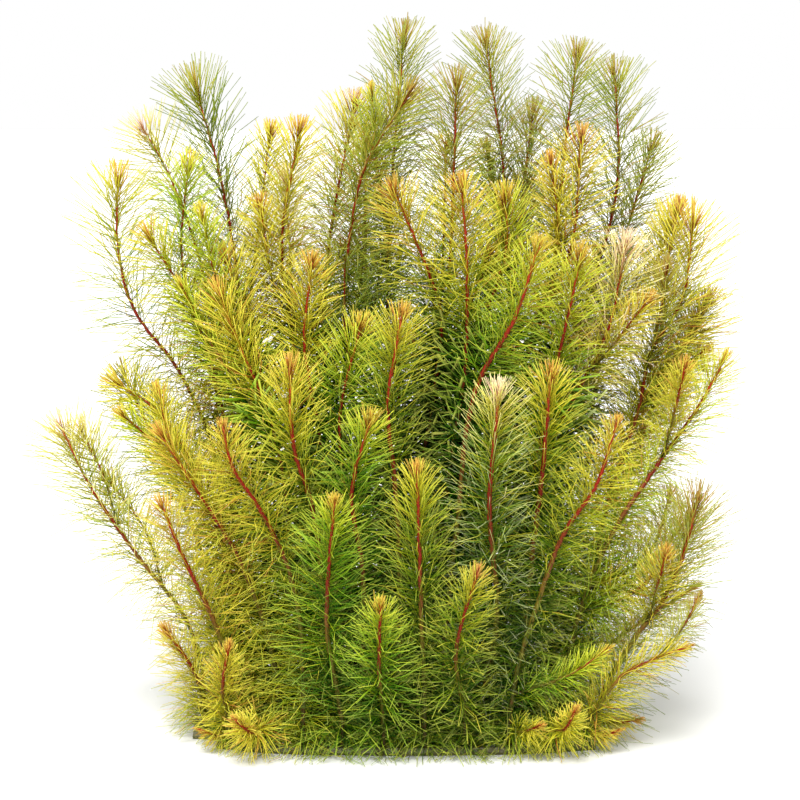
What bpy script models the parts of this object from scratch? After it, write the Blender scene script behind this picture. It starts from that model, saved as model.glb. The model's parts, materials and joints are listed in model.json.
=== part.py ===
"""A clump of vietnam rotala: leafy water-plant shoots that rise from creeping runners.

The clump is cut off flat at the ground and stands on the cut side of its runners. Each shoot is one
solid: a short bare foot, then the brush that its whorls of needle leaves fill, out to their tips.
The brush is six-sided, with tufts that stand out by turns from tier to tier and a notched crown, and
it gives way to the neighbouring shoots. The origin is on the ground, under the middle of the clump,
with +X to the right, +Y to the back and +Z up.
"""

from typing import NamedTuple

import bmesh
import bpy
import numpy as np
from mathutils.bvhtree import BVHTree

MM = 0.001

# Driving dimensions, in millimetres
LEAF_REACH = 22.0
SLIM_REACH = 18.0
SHORT_REACH = 16.0
STEM_RADIUS = 1.3
FOOT_HEIGHT = 6.0
RUNNER_RADIUS = 2.5
RUNNER_AXIS_HEIGHT = 1.5
CROSS_RADIUS = 2.1
CROSS_AXIS_HEIGHT = 1.3
CROSS_PLACES = (-76.0, -38.0, 0.0, 38.0, 76.0)
# The cross runners pass their outer rows by this much and sway to either side by this much
CROSS_PAST = 3.75
CROSS_SWAY = 1.5
# A runner passes its outer feet by this share of the distance to the next ones
RUNNER_PAST = 0.3
GAP = 0.3

# Shape of a brush
SIDES = 6
FOOT_RINGS = 2
FOOT_TAPER = 1.5
TIER_LENGTH = 29.0
FEWEST_TIERS = 4
TUFT_WAIST = 0.7
OVERSHOOT = 0.8
# The crown's notches and its middle lie this share of the overshoot below its points
CROWN_NOTCH = 0.45
# Reach along the brush: the distance from its foot in millimetres, and the share of the full reach
LOWER_REACH = ((0.0, 0.45), (20.0, 0.75), (60.0, 1.0))
# Reach at the top: the distance past the stem's tip as a share of the overshoot, and the share
UPPER_REACH = ((-1.0, 1.0), (0.0, 0.95), (1.0, 0.66))

# How the brushes make room for one another
AXIS_STEP = 2.0
NEIGHBOUR_STEP = 6.0
NEIGHBOUR_MARGIN = 0.5
LEAST_BRUSH = 1.7
GROUND_CLEARANCE = 0.8
ROOM_SHRINK = 0.93
ROOM_ROUNDS = 80

# The block that cuts the runners off flat at the ground, and the distance at which points are one
GROUND_BLOCK_WIDTH = 400.0
GROUND_BLOCK_DEPTH = 20.0
WELD_DISTANCE = 0.001

COLLECTION_NAME = "vietnam_rotala"


class Row(NamedTuple):
    """The shoots of one runner: foot (x, y), points along the stem (x, y, z), and leaf reach."""

    zone: str
    shoots: tuple


# The planting plan in millimetres, one row for each runner from the front to the back, left to right
PLAN = (
    Row("front", (
        ((-84, -50), ((-86, -64, 34), (-82, -74, 58)), SHORT_REACH),
        ((-66, -57), ((-72, -80, 16), (-79, -94, 26)), SHORT_REACH),
        ((-47, -60), ((-55, -54, 93), (-68, -60, 122), (-81, -64, 144), (-85, -66, 163)), LEAF_REACH),
        ((-28, -61), ((-35, -74, 66), (-31, -88, 130)), LEAF_REACH),
        ((-8, -62), ((-10, -84, 50), (-9, -98, 83)), LEAF_REACH),
        ((12, -62), ((10, -76, 80), (8, -86, 146)), LEAF_REACH),
        ((32, -61), ((27, -82, 58), (37, -95, 98)), LEAF_REACH),
        ((53, -60), ((68, -62, 80), (80, -64, 112), (93, -66, 132), (104, -66, 165)), LEAF_REACH),
        ((72, -57), ((79, -76, 16), (84, -90, 30)), SHORT_REACH),
        ((90, -52), ((97, -60, 24), (108, -63, 40), (123, -63, 48), (140, -62, 54)), SHORT_REACH),
    )),
    Row("near", (
        ((-97, -30), ((-101, -42, 36), (-114, -52, 60)), SHORT_REACH),
        ((-78, -34), ((-92, -48, 66), (-107, -52, 100), (-115, -54, 121)), LEAF_REACH),
        ((-59, -36), ((-81, -40, 97), (-97, -41, 124), (-116, -42, 154)), LEAF_REACH),
        ((-40, -38), ((-43, -50, 122), (-51, -55, 150), (-53, -58, 190)), LEAF_REACH),
        ((-20, -40), ((-18, -56, 90), (-23, -64, 132), (-14, -70, 166)), LEAF_REACH),
        ((0, -40), ((-3, -46, 137), (-6, -47, 166), (1, -50, 214)), LEAF_REACH),
        ((20, -40), ((28, -42, 110), (40, -44, 185), (54, -44, 209), (67, -44, 247)), LEAF_REACH),
        ((40, -38), ((47, -56, 66), (43, -69, 126), (47, -76, 181)), LEAF_REACH),
        ((60, -36), ((64, -44, 90), (69, -54, 140), (72, -63, 187)), LEAF_REACH),
        ((80, -33), ((101, -26, 95), (131, -14, 140), (150, -8, 166), (161, -6, 187)), LEAF_REACH),
        ((98, -30), ((114, -38, 50), (130, -36, 72), (140, -33, 95), (146, -31, 119)), LEAF_REACH),
    )),
    Row("middle", (
        ((-98, -10), ((-106, -12, 54), (-132, -11, 90), (-154, -9, 123), (-168, -8, 152)), SLIM_REACH),
        ((-80, -13), ((-98, -10, 120), (-120, -4, 160), (-141, 0, 174)), SLIM_REACH),
        ((-61, -16), ((-60, -30, 146), (-70, -29, 177), (-80, -27, 200), (-89, -25, 223)), LEAF_REACH),
        ((-42, -18), ((-39, -26, 148), (-47, -24, 200), (-43, -22, 237)), LEAF_REACH),
        ((-23, -20), ((-26, -28, 110), (-29, -34, 166), (-19, -36, 207)), LEAF_REACH),
        ((-4, -21), ((6, -18, 110), (18, -14, 180), (20, -14, 212), (12, -17, 237), (-3, -20, 272)),
         LEAF_REACH),
        ((16, -20), ((24, -24, 130), (32, -28, 189), (32, -29, 248), (30, -28, 275)), LEAF_REACH),
        ((36, -18), ((36, -12, 110), (40, -8, 200), (53, -8, 248), (52, -8, 268)), LEAF_REACH),
        ((56, -16), ((62, -24, 110), (73, -28, 170), (82, -30, 212), (88, -30, 241)), LEAF_REACH),
        ((76, -13), ((77, -10, 100), (80, -8, 155), (90, -10, 175), (103, -12, 203), (111, -13, 245)),
         LEAF_REACH),
        ((96, -8), ((103, -2, 110), (120, 3, 163), (126, 5, 190), (140, 5, 214), (146, 5, 253)),
         LEAF_REACH),
    )),
    Row("heart", (
        ((-94, 8), ((-99, 7, 155), (-111, 6, 180), (-134, 6, 213), (-141, 6, 250), (-140, 6, 274)),
         LEAF_REACH),
        ((-76, 6), ((-84, 0, 120), (-94, -4, 185), (-106, -6, 218), (-123, -8, 247)), LEAF_REACH),
        ((-57, 3), ((-62, 2, 120), (-72, -4, 190), (-86, -8, 238)), LEAF_REACH),
        ((-38, 1), ((-44, 4, 120), (-54, 6, 200), (-59, 6, 240), (-50, 6, 299)), LEAF_REACH),
        ((-18, 0), ((-20, 2, 120), (-26, 0, 240), (-17, -2, 283), (4, -4, 318)), LEAF_REACH),
        ((10, 0), ((14, 4, 120), (24, 4, 220), (28, 4, 323)), LEAF_REACH),
        ((34, 1), ((48, 6, 120), (68, 2, 200), (84, -4, 240), (89, -8, 297)), LEAF_REACH),
        ((56, 4), ((64, 14, 120), (74, 18, 200), (84, 14, 305), (88, 12, 336)), LEAF_REACH),
        ((92, 10), ((106, 18, 110), (128, 22, 170), (148, 22, 195), (155, 22, 213)), LEAF_REACH),
    )),
    Row("crown", (
        ((-86, 30), ((-92, 28, 120), (-98, 26, 220), (-118, 22, 281), (-128, 20, 299)), LEAF_REACH),
        ((-64, 26), ((-72, 24, 120), (-84, 24, 240), (-90, 23, 275), (-102, 22, 320)), LEAF_REACH),
        ((-38, 25), ((-38, 26, 120), (-36, 28, 240), (-23, 28, 311)), LEAF_REACH),
        ((-12, 24), ((-8, 22, 120), (-4, 20, 276), (2, 20, 345)), LEAF_REACH),
        ((16, 25), ((28, 25, 120), (46, 25, 220), (52, 25, 268), (43, 25, 342)), LEAF_REACH),
        ((38, 28), ((50, 36, 120), (58, 40, 220), (67, 42, 306)), LEAF_REACH),
        ((64, 28), ((76, 30, 120), (92, 30, 200), (110, 30, 275), (108, 30, 326)), LEAF_REACH),
        ((84, 30), ((96, 37, 120), (104, 46, 200), (120, 44, 262), (128, 42, 290)), LEAF_REACH),
    )),
    Row("back", (
        ((-88, 50), ((-104, 54, 80), (-124, 54, 130), (-142, 50, 170)), LEAF_REACH),
        ((-64, 49), ((-76, 58, 100), (-92, 66, 170), (-100, 68, 222)), LEAF_REACH),
        ((-41, 50), ((-48, 62, 120), (-56, 74, 210), (-60, 78, 272)), LEAF_REACH),
        ((-17, 51), ((-18, 64, 130), (-18, 78, 230), (-18, 82, 295)), LEAF_REACH),
        ((8, 51), ((14, 64, 130), (22, 78, 220), (24, 82, 288)), LEAF_REACH),
        ((32, 52), ((42, 64, 120), (58, 74, 210), (66, 76, 268)), LEAF_REACH),
        ((56, 52), ((72, 62, 100), (94, 70, 180), (104, 70, 232)), LEAF_REACH),
        ((80, 50), ((100, 58, 80), (122, 58, 130), (140, 54, 176)), LEAF_REACH),
    )),
    Row("rear", (
        ((-30, 70), ((-36, 92, 60), (-42, 106, 110)), LEAF_REACH),
        ((20, 71), ((26, 92, 66), (34, 106, 130)), LEAF_REACH),
    )),
)

# Leaf colours by zone, as linear RGB
ZONE_COLOURS = {
    "front": (0.13, 0.24, 0.03),
    "near": (0.16, 0.25, 0.03),
    "middle": (0.25, 0.27, 0.03),
    "heart": (0.32, 0.30, 0.04),
    "crown": (0.36, 0.35, 0.07),
    "back": (0.26, 0.28, 0.04),
    "rear": (0.15, 0.22, 0.03),
}
RUNNER_COLOUR = (0.12, 0.05, 0.02)
LEAF_ROUGHNESS = 0.55
RUNNER_ROUGHNESS = 0.6


def smooth_line(points, step):
    """Points about one step apart on a smooth line through the given points."""
    knots = np.asarray(points, float)
    chords = np.linalg.norm(np.diff(knots, axis=0), axis=1)
    places = np.concatenate([[0.0], np.cumsum(chords)])
    slopes = np.gradient(knots, places, axis=0)
    slopes[0] = (knots[1] - knots[0]) / chords[0]
    line = [knots[0]]
    for index, length in enumerate(chords):
        count = max(2, int(np.ceil(length / step)))
        for share in np.arange(1, count + 1) / count:
            start_weight = 2 * share**3 - 3 * share**2 + 1
            start_slope = (share**3 - 2 * share**2 + share) * length
            end_slope = (share**3 - share**2) * length
            line.append(
                start_weight * knots[index]
                + (1 - start_weight) * knots[index + 1]
                + start_slope * slopes[index]
                + end_slope * slopes[index + 1]
            )
    return np.array(line)


class Shoot:
    """One shoot: its axis, the rings of its brush, and how far each ring reaches on each side."""

    def __init__(self, name, zone, foot, route, reach):
        """Lay out the axis and the rings from the planting plan's points."""
        self.name = name
        self.zone = zone
        self.reach = reach
        ground = RUNNER_AXIS_HEIGHT + RUNNER_RADIUS + GAP
        start = np.array([foot[0], foot[1], ground])
        above = start + (0.0, 0.0, FOOT_HEIGHT)
        self.axis = smooth_line([start, above, *route], AXIS_STEP)
        steps = np.linalg.norm(np.diff(self.axis, axis=0), axis=1)
        self.places = np.concatenate([[0.0], np.cumsum(steps)])
        self.length = self.places[-1]
        self.overshoot = OVERSHOOT * reach
        self.lay_rings()
        self.set_reaches()

    def at(self, place):
        """The point of the axis at a distance from the foot, running straight on past the tip."""
        point = np.array([np.interp(place, self.places, self.axis[:, k]) for k in range(3)])
        if place > self.length:
            point = point + self.direction(self.length) * (place - self.length)
        return point

    def direction(self, place):
        """The axis's unit direction at a distance from its foot."""
        index = int(np.clip(np.searchsorted(self.places, place), 1, len(self.places) - 1))
        low, high = max(0, index - 2), min(len(self.axis) - 1, index + 1)
        run = self.axis[high] - self.axis[low]
        return run / np.linalg.norm(run)

    def lay_rings(self):
        """Choose the rings' places and the unit spokes of each ring, square to the axis."""
        brush = self.length + self.overshoot - FOOT_HEIGHT
        tiers = max(FEWEST_TIERS, int(round(brush / TIER_LENGTH)) + 1)
        leafy = FOOT_HEIGHT + np.linspace(FOOT_TAPER, brush, tiers)
        self.ring_places = np.concatenate([[0.0, FOOT_HEIGHT], leafy])
        self.centres = np.array([self.at(place) for place in self.ring_places])
        side = np.array([1.0, 0.0, 0.0])
        spokes = []
        for ring, place in enumerate(self.ring_places):
            along = np.array([0.0, 0.0, 1.0]) if ring < FOOT_RINGS else self.direction(place)
            side = side - along * side.dot(along)
            side /= np.linalg.norm(side)
            across = np.cross(along, side)
            turns = 2 * np.pi * np.arange(SIDES) / SIDES
            spokes.append(np.outer(np.cos(turns), side) + np.outer(np.sin(turns), across))
        self.spokes = np.array(spokes)

    def set_reaches(self):
        """Give each ring the reach that the leaves have there, before neighbours take room."""
        from_foot = self.ring_places - FOOT_HEIGHT
        lower = np.interp(from_foot, *np.array(LOWER_REACH).T)
        past_tip = (self.ring_places - self.length) / self.overshoot
        upper = np.interp(past_tip, *np.array(UPPER_REACH).T)
        ring, side = np.indices((len(self.ring_places), SIDES))
        tufts = np.where((ring + side) % 2, TUFT_WAIST, 1.0)
        self.reaches = self.reach * np.minimum(lower, upper)[:, None] * tufts
        self.reaches[:FOOT_RINGS] = STEM_RADIUS

    def give_way(self, others):
        """Shorten the spokes that pass halfway to a neighbour's axis or reach the ground."""
        for ring in range(FOOT_RINGS, len(self.centres)):
            centre = self.centres[ring]
            offsets = others - centre
            nearness = (offsets**2).sum(axis=1)
            for side in range(SIDES):
                spoke = self.spokes[ring, side]
                facing = offsets @ spoke
                ahead = facing > 0
                room = (nearness[ahead] / (2 * facing[ahead])).min(initial=np.inf) - NEIGHBOUR_MARGIN
                if spoke[2] < 0:
                    room = min(room, (centre[2] - GROUND_CLEARANCE) / -spoke[2])
                self.reaches[ring, side] = max(LEAST_BRUSH, min(self.reaches[ring, side], room))

    def points(self, extra=0.0):
        """The solid's points: the foot's middle, the rings from the foot up, and the crown."""
        rings = self.centres[:, None] + self.spokes * (self.reaches + extra)[:, :, None]
        drop = self.direction(self.length) * CROWN_NOTCH * self.overshoot
        rings[-1, len(self.centres) % 2::2] -= drop
        crown = self.centres[-1] - drop
        return np.vstack([self.centres[:1], rings.reshape(-1, 3), crown[None]])

    def faces(self):
        """The solid's triangles, facing out."""
        rings = len(self.centres)
        crown = 1 + rings * SIDES
        triangles = []
        for side in range(SIDES):
            following = (side + 1) % SIDES
            triangles.append((0, 1 + following, 1 + side))
            for ring in range(rings - 1):
                low = 1 + ring * SIDES
                high = low + SIDES
                triangles.append((low + side, low + following, high + following))
                triangles.append((low + side, high + following, high + side))
            top = crown - SIDES
            triangles.append((top + side, top + following, crown))
        return triangles

    def shrink(self, points):
        """Draw in the brush at the given points of the solid."""
        for point in points:
            ring, side = divmod(point - 1, SIDES)
            if FOOT_RINGS <= ring < len(self.centres):
                self.reaches[ring, side] = max(LEAST_BRUSH, self.reaches[ring, side] * ROOM_SHRINK)


def plant():
    """All shoots of the planting plan, numbered within their row."""
    shoots = []
    for row in PLAN:
        for number, (foot, route, reach) in enumerate(row.shoots, 1):
            shoots.append(Shoot(f"{row.zone}_shoot_{number:02d}", row.zone, foot, route, reach))
    return shoots


def part_by_halves(shoots):
    """Let each brush end halfway to its neighbours' axes."""
    samples = []
    for shoot in shoots:
        places = np.arange(0.0, shoot.length + shoot.overshoot / 2, NEIGHBOUR_STEP)
        samples.append(np.array([shoot.at(place) for place in places]))
    for index, shoot in enumerate(shoots):
        shoot.give_way(np.vstack(samples[:index] + samples[index + 1:]))


def crossing_faces(shoots):
    """Pairs of shoots whose solids come closer than the gap, with the faces that do."""
    trees = [BVHTree.FromPolygons(shoot.points(GAP / 2).tolist(), shoot.faces()) for shoot in shoots]
    lows = np.array([shoot.points(GAP).min(axis=0) for shoot in shoots])
    highs = np.array([shoot.points(GAP).max(axis=0) for shoot in shoots])
    for one in range(len(shoots)):
        for two in range(one + 1, len(shoots)):
            if (lows[one] < highs[two]).all() and (lows[two] < highs[one]).all():
                pairs = trees[one].overlap(trees[two])
                if pairs:
                    yield one, two, pairs


def make_room(shoots):
    """Draw in the brushes where their faces still cross a neighbour's."""
    faces = [shoot.faces() for shoot in shoots]
    for _ in range(ROOM_ROUNDS):
        crowded = [set() for _ in shoots]
        for one, two, pairs in crossing_faces(shoots):
            for first, second in pairs:
                crowded[one].update(faces[one][first])
                crowded[two].update(faces[two][second])
        if not any(crowded):
            return
        for shoot, points in zip(shoots, crowded):
            shoot.shrink(sorted(points))


def material(name, colour, roughness):
    """A Principled material of one colour."""
    made = bpy.data.materials.new(name)
    made.use_nodes = True
    shader = made.node_tree.nodes["Principled BSDF"]
    shader.inputs["Base Color"].default_value = (*colour, 1.0)
    shader.inputs["Roughness"].default_value = roughness
    return made


def add_shoot(shoot, collection):
    """Make the shoot's solid from its rings."""
    mesh = bpy.data.meshes.new(shoot.name)
    mesh.from_pydata((shoot.points() * MM).tolist(), [], shoot.faces())
    mesh.materials.append(
        material(f"{shoot.name}_leaf", ZONE_COLOURS[shoot.zone], LEAF_ROUGHNESS)
    )
    collection.objects.link(bpy.data.objects.new(shoot.name, mesh))


def tube(name, points, radius, collection):
    """A round stem along the points, with closed ends, as a mesh object."""
    curve = bpy.data.curves.new(name, "CURVE")
    curve.dimensions = "3D"
    curve.bevel_depth = radius * MM
    curve.bevel_resolution = 1
    curve.use_fill_caps = True
    spline = curve.splines.new("POLY")
    spline.points.add(len(points) - 1)
    for spot, point in zip(spline.points, points):
        spot.co = (*(np.asarray(point) * MM), 1.0)
    guide = bpy.data.objects.new(f"{name}_curve", curve)
    collection.objects.link(guide)
    bpy.context.view_layer.update()
    graph = bpy.context.evaluated_depsgraph_get()
    mesh = bpy.data.meshes.new_from_object(guide.evaluated_get(graph))
    bpy.data.objects.remove(guide)
    shape = bmesh.new()
    shape.from_mesh(mesh)
    bmesh.ops.remove_doubles(shape, verts=shape.verts, dist=WELD_DISTANCE * MM)
    bmesh.ops.recalc_face_normals(shape, faces=shape.faces)
    shape.to_mesh(mesh)
    shape.free()
    made = bpy.data.objects.new(name, mesh)
    collection.objects.link(made)
    return made


def runner_line(row):
    """A runner's line under the feet of its row, a little past the outer two."""
    feet = [np.array([x, y, RUNNER_AXIS_HEIGHT]) for (x, y), _, _ in row.shoots]
    start = feet[0] + (feet[0] - feet[1]) * RUNNER_PAST
    end = feet[-1] + (feet[-1] - feet[-2]) * RUNNER_PAST
    return [start, *feet, end]


def row_place(row, x):
    """Where a row's runner passes a place along X, or None outside the row."""
    line = np.array(runner_line(row))
    if not line[0, 0] < x < line[-1, 0]:
        return None
    return float(np.interp(x, line[:, 0], line[:, 1]))


def cross_line(x):
    """A cross runner's line through all the rows that it meets."""
    places = [row_place(row, x) for row in PLAN]
    met = [place for place in places if place is not None]
    ends = [met[0] - CROSS_PAST, *met[1:-1], met[-1] + CROSS_PAST]
    sway = [CROSS_SWAY * (-1) ** index for index in range(len(ends))]
    return [(x + shift, y, CROSS_AXIS_HEIGHT) for shift, y in zip(sway, ends)]


def add_rootstock(collection, cutters):
    """Join the runners and cross runners into one mat, cut flat at the ground."""
    trunk = tube("rootstock", runner_line(PLAN[0]), RUNNER_RADIUS, collection)
    pieces = [
        tube(f"{row.zone}_runner", runner_line(row), RUNNER_RADIUS, cutters) for row in PLAN[1:]
    ]
    for number, x in enumerate(CROSS_PLACES, 1):
        pieces.append(tube(f"cross_runner_{number}", cross_line(x), CROSS_RADIUS, cutters))
    bpy.ops.mesh.primitive_cube_add(size=1.0, location=(0.0, 0.0, -GROUND_BLOCK_DEPTH / 2 * MM))
    ground = bpy.context.object
    ground.name = "ground_cutter"
    ground.scale = np.array([GROUND_BLOCK_WIDTH, GROUND_BLOCK_WIDTH, GROUND_BLOCK_DEPTH]) * MM
    for owner in list(ground.users_collection):
        owner.objects.unlink(ground)
    cutters.objects.link(ground)
    for piece in pieces[len(PLAN) - 1:] + pieces[:len(PLAN) - 1]:
        join(trunk, piece, "UNION")
    join(trunk, ground, "DIFFERENCE")
    trunk.data.materials.clear()
    trunk.data.materials.append(material("rootstock_stem", RUNNER_COLOUR, RUNNER_ROUGHNESS))


def join(target, tool, operation):
    """Add an exact Boolean to the target, and keep its tool out of sight."""
    tool.hide_render = True
    tool.display_type = "WIRE"
    boolean = target.modifiers.new(f"{operation.lower()}_{tool.name}", "BOOLEAN")
    boolean.operation = operation
    boolean.solver = "EXACT"
    boolean.object = tool


def main():
    """Build the clump in a cleared scene."""
    for item in list(bpy.data.objects):
        bpy.data.objects.remove(item)
    clump = bpy.data.collections.new(COLLECTION_NAME)
    cutters = bpy.data.collections.new("cutters")
    bpy.context.scene.collection.children.link(clump)
    bpy.context.scene.collection.children.link(cutters)
    shoots = plant()
    part_by_halves(shoots)
    make_room(shoots)
    for shoot in shoots:
        add_shoot(shoot, clump)
    add_rootstock(clump, cutters)


main()
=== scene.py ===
"""The looks of a vietnam rotala clump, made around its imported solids.

Each packed shoot is one plain brush. Here a fleshy red stem with whorls of needle leaves takes the
place of every brush: it keeps to the brush's axis, and its leaves reach the brush's outline. Small
side twigs grow among the shoots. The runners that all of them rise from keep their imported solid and
get their finish here.
"""

import json
import logging
import math
from collections.abc import Iterable
from dataclasses import dataclass, field
from enum import Enum
from typing import NamedTuple

import bpy
import numpy as np
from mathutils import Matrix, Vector

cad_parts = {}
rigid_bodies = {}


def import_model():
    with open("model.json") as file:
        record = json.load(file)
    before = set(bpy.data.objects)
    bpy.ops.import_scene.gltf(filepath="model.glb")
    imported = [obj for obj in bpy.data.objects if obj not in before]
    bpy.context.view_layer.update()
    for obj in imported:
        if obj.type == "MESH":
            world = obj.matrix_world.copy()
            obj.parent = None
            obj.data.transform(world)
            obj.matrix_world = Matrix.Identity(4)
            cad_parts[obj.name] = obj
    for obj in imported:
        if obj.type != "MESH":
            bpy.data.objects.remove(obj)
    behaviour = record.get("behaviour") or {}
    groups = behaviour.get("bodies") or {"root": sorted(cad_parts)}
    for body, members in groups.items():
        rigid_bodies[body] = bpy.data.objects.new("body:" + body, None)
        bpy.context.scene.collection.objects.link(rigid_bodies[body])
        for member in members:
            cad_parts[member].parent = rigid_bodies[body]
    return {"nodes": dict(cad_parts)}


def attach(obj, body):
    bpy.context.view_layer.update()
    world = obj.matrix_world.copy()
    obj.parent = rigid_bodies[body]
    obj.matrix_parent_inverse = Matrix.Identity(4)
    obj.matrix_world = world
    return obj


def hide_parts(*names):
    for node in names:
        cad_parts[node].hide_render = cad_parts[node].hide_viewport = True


for leftover in list(bpy.data.objects):
    bpy.data.objects.remove(leftover)
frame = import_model()

log = logging.getLogger("rotala")

MM = 0.001
BODY = "root"
BAKE_MAP = "OFBake"
UP = np.array([0.0, 0.0, 1.0])
# No stem grows this way, so the leaves' turns round every stem are counted from it
ACROSS = (0.31, 0.95, 0.05)
# How far a bud's or an old leaf is turned on from the one before it, in radians, and a whorl from
# the one before it, in full turns
LEAF_TURN = 2.4
WHORL_TURN = 0.382

Point = tuple[float, float, float]
Pair = tuple[float, float]
Table = tuple[Pair, ...]


def read_off(table: Table, places: np.ndarray) -> np.ndarray:
    """Read a table of places and values at the given places, with straight lines between its rows."""
    return np.interp(places, *np.array(table).T)


def between(first: np.ndarray | float, second: np.ndarray | float,
            share: np.ndarray | float) -> np.ndarray | float:
    """Go from the first value to the second by the given share."""
    return first * (1 - share) + second * share


def add_object(name: str, data: bpy.types.ID) -> bpy.types.Object:
    """Put a new object in the scene.

    Args:
        name: The object's name.
        data: The mesh, curve, lamp or camera that it shows.

    Returns:
        The object.
    """
    made = bpy.data.objects.new(name, data)
    bpy.context.scene.collection.objects.link(made)
    return made


def linear(hex_colour: str) -> tuple[float, float, float, float]:
    """Turn an sRGB hex colour, such as "8FA51E", into linear red, green and blue, with alpha 1."""
    channels = [int(hex_colour[start:start + 2], 16) / 255 for start in (0, 2, 4)]
    return (*[c / 12.92 if c <= 0.04045 else ((c + 0.055) / 1.055) ** 2.4 for c in channels], 1.0)


def add_node(tree: bpy.types.NodeTree, kind: str, settings: dict | None = None,
             **links: object) -> bpy.types.Node:
    """Add one shader node with its settings, values and links.

    Args:
        tree: The material's or world's node tree.
        kind: The shader node's type, such as "TexNoise".
        settings: The node's own properties by name.
        **links: A value or an output socket for each input, with _ for a space in its name.

    Returns:
        The new node.
    """
    node = tree.nodes.new(f"ShaderNode{kind}")
    for name, value in (settings or {}).items():
        setattr(node, name, value)
    for name, value in links.items():
        plain = name.replace("_", " ")
        socket = node.inputs[int(plain[1:])] if plain[1:].isdigit() else node.inputs[plain]
        if isinstance(value, bpy.types.NodeSocket):
            tree.links.new(value, socket)
        else:
            socket.default_value = value
    return node


def paint_ramp(node: bpy.types.Node, stops: Iterable[tuple[float, str]]) -> bpy.types.NodeSocket:
    """Give a colour ramp its stops.

    Args:
        node: The Color Ramp node.
        stops: Pairs of place and sRGB hex colour, in rising order.

    Returns:
        The ramp's colour output.
    """
    ramp = node.color_ramp
    stops = list(stops)
    while len(ramp.elements) < len(stops):
        ramp.elements.new(1.0)
    for element, (place, colour) in zip(ramp.elements, stops):
        element.position = place
        element.color = linear(colour)
    return node.outputs["Color"]


def new_material(name: str) -> tuple[bpy.types.Material, bpy.types.NodeTree]:
    """Start a material with an empty node tree.

    Args:
        name: What the real stuff is.

    Returns:
        The material and its node tree.
    """
    made = bpy.data.materials.new(name)
    made.use_nodes = True
    made.node_tree.nodes.clear()
    return made, made.node_tree


def put_shader(tree: bpy.types.NodeTree, **inputs: object) -> None:
    """End a material in one Principled shader, with a value or a socket for each of its inputs."""
    shader = add_node(tree, "BsdfPrincipled", **inputs)
    add_node(tree, "OutputMaterial", Surface=shader.outputs["BSDF"])


class Tone(Enum):
    """The colour that a shoot's leaves turn towards at its tip."""

    LIME = "lime"
    GOLDEN = "golden"
    BLUSH = "blush"
    RUSSET = "russet"
    SAGE = "sage"


LIME, GOLDEN, BLUSH, RUSSET, SAGE = Tone


@dataclass(frozen=True)
class LeafFinish:
    """Needle leaf of a water plant: thin and soft, with a satin skin.

    The leaf's map runs from its base to its end along U, and from old leaves to the tip's youngest
    along V, so the eye sees shoots that lighten and warm towards their tips. V also carries painted
    shade, which puts hidden leaves and the heart's old leaves low on it, and painted light, which keeps
    the golden edges' old leaves high on it.
    """

    tone: Tone
    age_colours: tuple[str, ...]
    core_colour: str
    end_colour: str
    # How much of the end colour the leaf's end has, and from where along the leaf
    end_share: float = 0.35
    end_from: float = 0.3
    # On the scale from old leaves to young, where the core colour comes in, and where along the leaf
    core_shades: Pair = (0.86, 0.95)
    core_run: Pair = (0.6, 0.05)
    # The places of the colours on that scale, by age and by painted shade and light
    age_places: tuple[float, ...] = (0.0, 0.2, 0.4, 0.55, 0.7, 0.82, 0.93, 1.0)
    roughness: float = 0.55
    gloss: float = 0.15

    def material(self) -> bpy.types.Material:
        """Make the finish's material.

        Returns:
            The material.
        """
        made, tree = new_material(f"needle_leaf_{self.tone.value}")
        place = add_node(tree, "UVMap", {"uv_map": BAKE_MAP})
        parts = add_node(tree, "SeparateXYZ", Vector=place.outputs["UV"])
        # V holds each leaf's age together with its painted shade and light
        age = paint_ramp(add_node(tree, "ValToRGB", Fac=parts.outputs["Y"]),
                         zip(self.age_places, self.age_colours))
        end = add_node(tree, "MapRange", {"interpolation_type": "SMOOTHSTEP"},
                       Value=parts.outputs["X"], From_Min=self.end_from, From_Max=1.0,
                       To_Min=0.0, To_Max=self.end_share)
        ended = add_node(tree, "Mix", {"data_type": "RGBA"},
                         i0=end.outputs["Result"], i6=age, i7=linear(self.end_colour))
        young = add_node(tree, "MapRange", Value=parts.outputs["Y"],
                         From_Min=self.core_shades[0], From_Max=self.core_shades[1])
        base = add_node(tree, "MapRange", {"interpolation_type": "SMOOTHSTEP"},
                        Value=parts.outputs["X"], From_Min=self.core_run[0],
                        From_Max=self.core_run[1])
        core = add_node(tree, "Math", {"operation": "MULTIPLY"},
                        i0=young.outputs["Result"], i1=base.outputs["Result"])
        colour = add_node(tree, "Mix", {"data_type": "RGBA"},
                          i0=core.outputs["Value"], i6=ended.outputs[2],
                          i7=linear(self.core_colour))
        put_shader(tree, Base_Color=colour.outputs[2], Roughness=self.roughness,
                   Specular_IOR_Level=self.gloss)
        return made


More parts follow.
